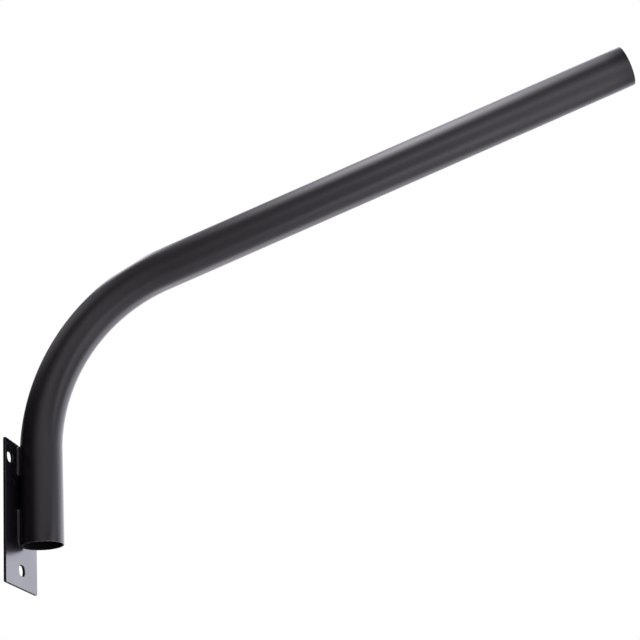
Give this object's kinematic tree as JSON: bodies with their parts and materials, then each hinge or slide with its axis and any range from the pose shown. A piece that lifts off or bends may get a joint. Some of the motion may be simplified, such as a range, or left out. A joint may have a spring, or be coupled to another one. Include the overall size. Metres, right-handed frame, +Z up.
{
  "type": "wall lamp bracket arm",
  "caption": "Wall bracket for a street lamp: a bent round tube, welded to a slotted wall plate, whose long straight arm rises outward as the lamp's spigot.",
  "frame": {"origin": "centre of the plate's wall face", "axes": "+X out of the wall, along the arm's reach; +Y to the right as one faces the wall; +Z up"},
  "size_m": [0.7496, 0.096, 0.5505],
  "materials": {
    "black_paint": "satin"
  },
  "bodies": {
    "root": {"tube_arm": "black_paint", "wall_plate": "black_paint", "weld_upper_left": "black_paint", "weld_upper_right": "black_paint", "weld_lower_left": "black_paint", "weld_lower_right": "black_paint"}
  },
  "joints": []
}
